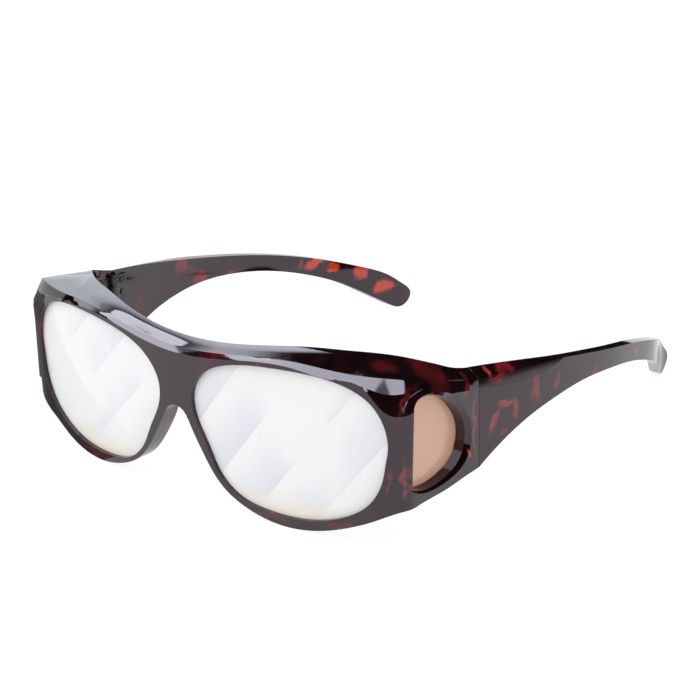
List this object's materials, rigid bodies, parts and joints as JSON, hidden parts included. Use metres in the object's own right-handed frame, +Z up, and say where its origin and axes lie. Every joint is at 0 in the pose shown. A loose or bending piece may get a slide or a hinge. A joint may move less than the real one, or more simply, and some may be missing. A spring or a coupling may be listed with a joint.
{
  "type": "fitover sunglasses",
  "caption": "Wraparound sunglasses worn over ordinary spectacles, with a deep moulded front, roof and side panels with small side windows, a nose saddle and temples on screw hinges.",
  "frame": {"origin": "middle of the overall box, on the surface that the open glasses stand on", "axes": "+X towards the wearer's left, -Y out of the front where the wearer looks, +Z up; the glasses stand open on both rims and both temple tips"},
  "size_m": [0.1496, 0.165, 0.0481],
  "materials": {
    "frame_plastic": "polished dark tortoiseshell with red and amber patches",
    "temple_plastic": "polished dark tortoiseshell outside, satin grey-brown inside",
    "main_lens": "polished, nearly clear",
    "side_lens": "polished tan tint",
    "hinge_metal": "bright drawn nickel silver"
  },
  "bodies": {
    "front": {"front_frame": "frame_plastic", "lens_left": "main_lens", "lens_right": "main_lens", "side_lens_left": "side_lens", "side_lens_right": "side_lens", "front_hinge_left": "hinge_metal", "front_hinge_right": "hinge_metal", "hinge_screw_left": "hinge_metal", "hinge_screw_right": "hinge_metal", "front_hinge_rivets_left": "hinge_metal", "front_hinge_rivets_right": "hinge_metal"},
    "temple_left": {"temple_left": "temple_plastic", "temple_hinge_left": "hinge_metal", "temple_hinge_rivets_left": "hinge_metal"},
    "temple_right": {"temple_right": "temple_plastic", "temple_hinge_right": "hinge_metal", "temple_hinge_rivets_right": "hinge_metal"}
  },
  "joints": [
    {"name": "temple_left_fold", "type": "hinge", "parent": "front", "child": "temple_left", "pos_m": [0.067, -0.0419, 0.035], "axis": [0, 0, 1], "range_deg": [0, 90]},
    {"name": "temple_right_fold", "type": "hinge", "parent": "front", "child": "temple_right", "pos_m": [-0.067, -0.0419, 0.035], "axis": [0, 0, -1], "range_deg": [0, 82]}
  ]
}
